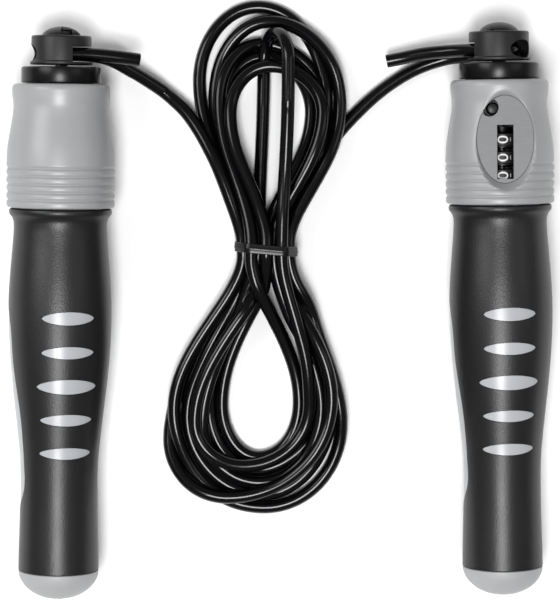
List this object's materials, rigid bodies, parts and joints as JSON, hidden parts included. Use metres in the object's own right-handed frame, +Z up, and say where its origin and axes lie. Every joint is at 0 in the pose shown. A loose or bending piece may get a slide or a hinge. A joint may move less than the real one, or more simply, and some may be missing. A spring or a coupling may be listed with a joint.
{
  "type": "jump rope",
  "caption": "Jump rope with two contoured handles on swivel heads, a turn counter in one collar, and its round cord bundled and tied between them.",
  "frame": {"origin": "on the table, midway between the two handles and midway along them", "axes": "+Y along the handles toward their heads, +X from the left handle to the right one, +Z up from the table"},
  "size_m": [0.1638, 0.1809, 0.0326],
  "materials": {
    "collar_grey": "smooth semi-gloss grey moulding",
    "face_grey": "semi-gloss grey with a fine grain running across",
    "core_grey": "glossy light grey pads",
    "grip_black": "soft-touch black with a fine grain",
    "gloss_black": "glossy black",
    "head_black": "satin black",
    "counter_black": "satin black",
    "rope_black": "glossy black extruded cord",
    "tie_black": "satin black flat tie",
    "steel": "turned",
    "bronze": "sintered bush"
  },
  "bodies": {
    "root": {"left_head_drum": "head_black", "left_head_cap": "head_black", "left_spindle": "steel", "left_retaining_clip": "steel", "rope_bend_left": "rope_black", "rope_tail_left": "rope_black", "rope_lead_left": "rope_black", "right_head_drum": "head_black", "right_head_cap": "head_black", "right_spindle": "steel", "right_retaining_clip": "steel", "rope_bend_right": "rope_black", "rope_tail_right": "rope_black", "rope_lead_right": "rope_black", "drive_finger": "counter_black", "rope_hank": "rope_black", "hank_tie": "tie_black"},
    "left_handle": {"left_grip_sleeve": "grip_black", "left_grip_core": "core_grey", "left_end_cap": "collar_grey", "left_collar": "collar_grey", "left_bearing_cap": "gloss_black", "left_upper_bush": "bronze", "left_lower_bush": "bronze"},
    "right_handle": {"right_grip_sleeve": "grip_black", "right_grip_core": "core_grey", "right_end_cap": "collar_grey", "right_collar": "collar_grey", "right_bearing_cap": "gloss_black", "right_upper_bush": "bronze", "right_lower_bush": "bronze", "counter_face_plate": "face_grey", "counter_frame": "counter_black", "button_guide": "counter_black", "counter_wheel_axle": "steel", "transfer_axle": "steel"},
    "units_wheel": {"counter_wheel_units": "counter_black"},
    "tens_wheel": {"counter_wheel_tens": "counter_black"},
    "hundreds_wheel": {"counter_wheel_hundreds": "counter_black"},
    "carry_pinion_1": {"transfer_pinion_1": "counter_black"},
    "carry_pinion_2": {"transfer_pinion_2": "counter_black"},
    "reset_button": {"reset_button": "head_black"}
  },
  "joints": [
    {"name": "left_handle_spin", "type": "hinge", "parent": "root", "child": "left_handle", "pos_m": [-0.0653, 0.0685, 0.01692], "axis": [0.0127, 0.9997, 0.0201], "continuous": true},
    {"name": "right_handle_spin", "type": "hinge", "parent": "root", "child": "right_handle", "pos_m": [0.0654, 0.0698, 0.01692], "axis": [-0.0143, 0.9997, 0.0201], "continuous": true},
    {"name": "units_spin", "type": "hinge", "parent": "right_handle", "child": "units_wheel", "pos_m": [0.06565, 0.06969, 0.02252], "axis": [-0.0143, 0.9997, 0.0201], "continuous": true},
    {"name": "tens_spin", "type": "hinge", "parent": "right_handle", "child": "tens_wheel", "pos_m": [0.06565, 0.06969, 0.02252], "axis": [-0.0143, 0.9997, 0.0201], "continuous": true},
    {"name": "hundreds_spin", "type": "hinge", "parent": "right_handle", "child": "hundreds_wheel", "pos_m": [0.06565, 0.06969, 0.02252], "axis": [-0.0143, 0.9997, 0.0201], "continuous": true},
    {"name": "carry_1_spin", "type": "hinge", "parent": "right_handle", "child": "carry_pinion_1", "pos_m": [0.05981, 0.06968, 0.01865], "axis": [-0.0143, 0.9997, 0.0201], "continuous": true},
    {"name": "carry_2_spin", "type": "hinge", "parent": "right_handle", "child": "carry_pinion_2", "pos_m": [0.05981, 0.06968, 0.01865], "axis": [-0.0143, 0.9997, 0.0201], "continuous": true},
    {"name": "reset_press", "type": "slide", "parent": "right_handle", "child": "reset_button", "axis": [-0.0439, 0.0194, -0.9988], "range_m": [0, 0.001], "stiffness_N_per_m": 200, "springref_m": -0.0005}
  ],
  "couplings": [
    {"joint": "units_spin", "follows": "right_handle_spin", "ratio": 0.1},
    {"joint": "tens_spin", "follows": "right_handle_spin", "ratio": 0.01},
    {"joint": "hundreds_spin", "follows": "right_handle_spin", "ratio": 0.001},
    {"joint": "carry_1_spin", "follows": "right_handle_spin", "ratio": -0.025},
    {"joint": "carry_2_spin", "follows": "right_handle_spin", "ratio": -0.0025}
  ]
}
